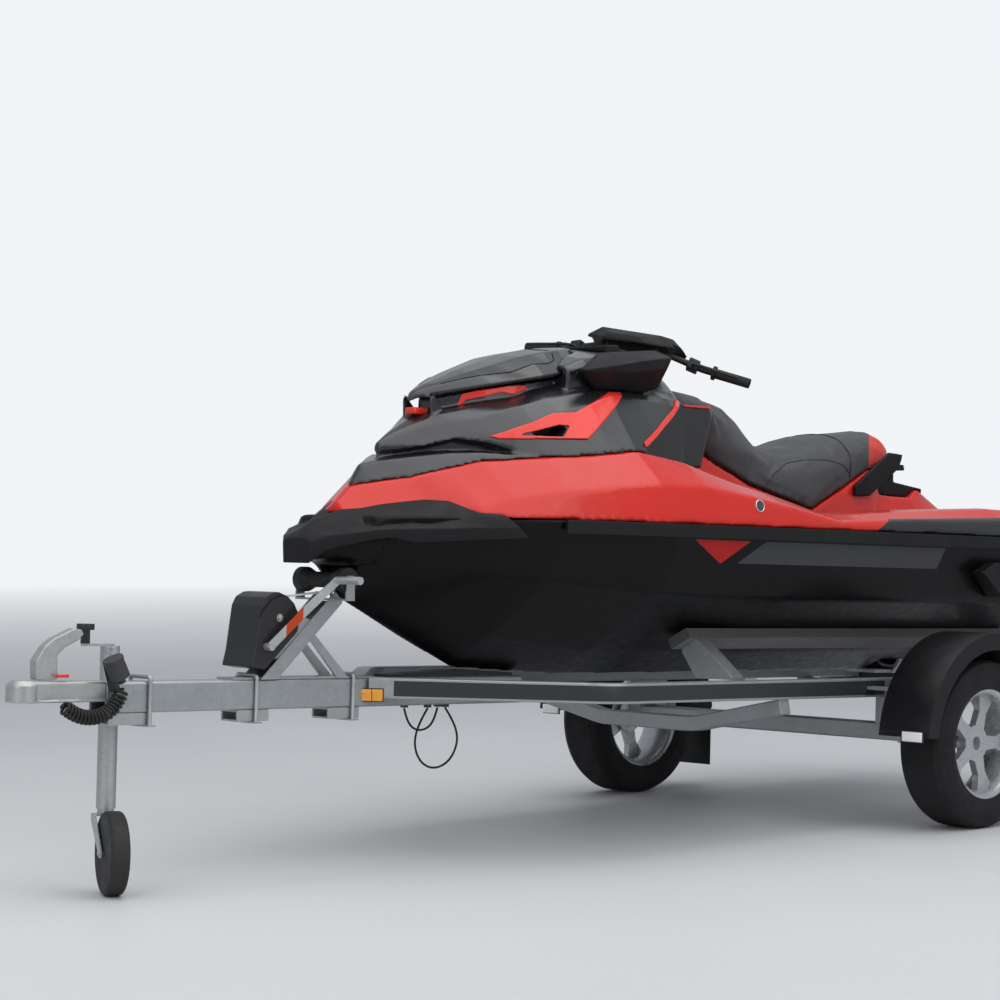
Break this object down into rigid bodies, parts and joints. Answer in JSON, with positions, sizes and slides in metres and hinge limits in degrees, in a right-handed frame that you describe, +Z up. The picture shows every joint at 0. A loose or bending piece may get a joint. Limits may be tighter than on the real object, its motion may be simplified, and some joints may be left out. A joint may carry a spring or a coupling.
{
  "type": "personal watercraft on trailer",
  "caption": "Sit-down jet watercraft with lifting hood and saddle, carried on an unbraked road trailer with winch post and jockey wheel.",
  "frame": {"origin": "on the floor under the middle of the overall length, on the centre plane", "axes": "+X forward towards bow and coupling, +Y port, +Z up"},
  "size_m": [4.5209, 1.794, 1.7063],
  "materials": {
    "hull_black": "gloss gelcoat",
    "deck_red": "gloss gelcoat",
    "bumper_black": "matt",
    "cowl_black": "gloss",
    "trim_red": "gloss",
    "bin_grey": "matt",
    "seat_vinyl": "vinyl",
    "mat_foam": "matt",
    "engine_metal": "cast",
    "pump_metal": "cast",
    "impeller_steel": "satin",
    "bar_black": "satin",
    "grip_rubber": "matt",
    "galvanised": "hot-dip zinc",
    "coupling_zinc": "bright zinc",
    "webbing": "woven strap",
    "plug_black": "matt",
    "cord_black": "matt",
    "zinc_bright": "bright zinc",
    "jockey_rubber": "matt",
    "tyre_rubber": "matt",
    "rim_silver": "painted silver",
    "guard_plastic": "matt",
    "bunk_carpet": "carpet",
    "roller_rubber": "matt",
    "winch_black": "satin",
    "board_black": "matt"
  },
  "bodies": {
    "trailer_and_craft": {"hull": "hull_black", "deck": "deck_red", "engine_block": "engine_metal", "rub_rails": "bumper_black", "bow_bumper": "bumper_black", "front_cowl": "cowl_black", "storage_bin": "bin_grey", "dash_pods": "bumper_black", "red_trims": "trim_red", "grab_handle": "bumper_black", "deck_mats": "mat_foam", "sponsons": "bumper_black", "ride_plate": "pump_metal", "intake_grate": "pump_metal", "pump_housing": "pump_metal", "side_rails": "galvanised", "drawbar": "galvanised", "coupling_head": "coupling_zinc", "coupling_lever": "coupling_zinc", "jockey_clamp": "zinc_bright", "jockey_tube": "zinc_bright", "jockey_crank": "zinc_bright", "cross_beams": "galvanised", "axle_beam": "galvanised", "suspension_arms": "galvanised", "mudguards": "guard_plastic", "bunks": "bunk_carpet", "frame_brackets": "galvanised", "keel_pad": "roller_rubber", "winch_post": "galvanised", "winch_box": "winch_black", "winch_crank": "zinc_bright", "bow_roller": "roller_rubber", "light_board": "board_black", "winch_strap": "webbing", "bow_eye": "zinc_bright", "drawbar_clamps": "zinc_bright", "lead_plug": "plug_black", "lead_coil": "cord_black", "frame_cable_front": "cord_black", "frame_cable_rear": "cord_black", "cable_fittings": "plug_black"},
    "wheel_port": {"tyre_port": "tyre_rubber", "rim_port": "rim_silver"},
    "wheel_starboard": {"tyre_starboard": "tyre_rubber", "rim_starboard": "rim_silver"},
    "jockey_stem": {"jockey_leg": "zinc_bright"},
    "jockey_swivel": {"jockey_fork": "zinc_bright"},
    "jockey_roller": {"jockey_wheel": "jockey_rubber"},
    "steering": {"handlebar": "bar_black", "handlebar_cover": "bumper_black", "grips": "grip_rubber", "controls": "bar_black"},
    "jet_nozzle": {"steering_nozzle": "pump_metal"},
    "gate": {"reverse_gate": "bumper_black"},
    "rotor": {"impeller": "impeller_steel"},
    "saddle": {"seat": "seat_vinyl"},
    "front_hood": {"hood": "cowl_black"}
  },
  "joints": [
    {"name": "wheel_port_spin", "type": "hinge", "parent": "trailer_and_craft", "child": "wheel_port", "pos_m": [-1.1085, 0.7865, 0.286], "axis": [0, 1, 0], "continuous": true},
    {"name": "wheel_starboard_spin", "type": "hinge", "parent": "trailer_and_craft", "child": "wheel_starboard", "pos_m": [-1.1085, -0.7865, 0.286], "axis": [0, 1, 0], "continuous": true},
    {"name": "jockey_wind", "type": "slide", "parent": "trailer_and_craft", "child": "jockey_stem", "axis": [-0.0349, 0, 0.9994], "range_m": [-0.18, 0]},
    {"name": "jockey_castor", "type": "hinge", "parent": "jockey_stem", "child": "jockey_swivel", "pos_m": [1.87578, -0.077, 0.21545], "axis": [-0.0349, 0, 0.9994], "continuous": true},
    {"name": "jockey_spin", "type": "hinge", "parent": "jockey_swivel", "child": "jockey_roller", "pos_m": [1.92188, 0.01892, 0.119], "axis": [-0.913, 0.4067, -0.0319], "continuous": true},
    {"name": "steer", "type": "hinge", "parent": "trailer_and_craft", "child": "steering", "pos_m": [-0.26803, 0, 1.60514], "axis": [-0.4067, 0, 0.9135], "range_deg": [-51.5, 2.5]},
    {"name": "nozzle_turn", "type": "hinge", "parent": "trailer_and_craft", "child": "jet_nozzle", "pos_m": [-2.11761, 0, 0.55795], "axis": [-0.0349, 0, 0.9994], "range_deg": [-2, 41.2]},
    {"name": "gate_drop", "type": "hinge", "parent": "trailer_and_craft", "child": "gate", "pos_m": [-2.1336, 0, 0.55739], "axis": [0, -1, 0], "range_deg": [0, 75]},
    {"name": "impeller_spin", "type": "hinge", "parent": "trailer_and_craft", "child": "rotor", "pos_m": [-1.84877, 0, 0.56734], "axis": [0.9994, 0, 0.0349], "continuous": true},
    {"name": "seat_lift", "type": "hinge", "parent": "trailer_and_craft", "child": "saddle", "pos_m": [-0.31316, 0, 1.49349], "axis": [0, 1, 0], "range_deg": [0, 50]},
    {"name": "hood_lift", "type": "hinge", "parent": "trailer_and_craft", "child": "front_hood", "pos_m": [0.72735, 0, 1.43977], "axis": [0, 1, 0], "range_deg": [0, 40]}
  ],
  "couplings": [
    {"joint": "nozzle_turn", "follows": "steer", "ratio": -0.8}
  ]
}
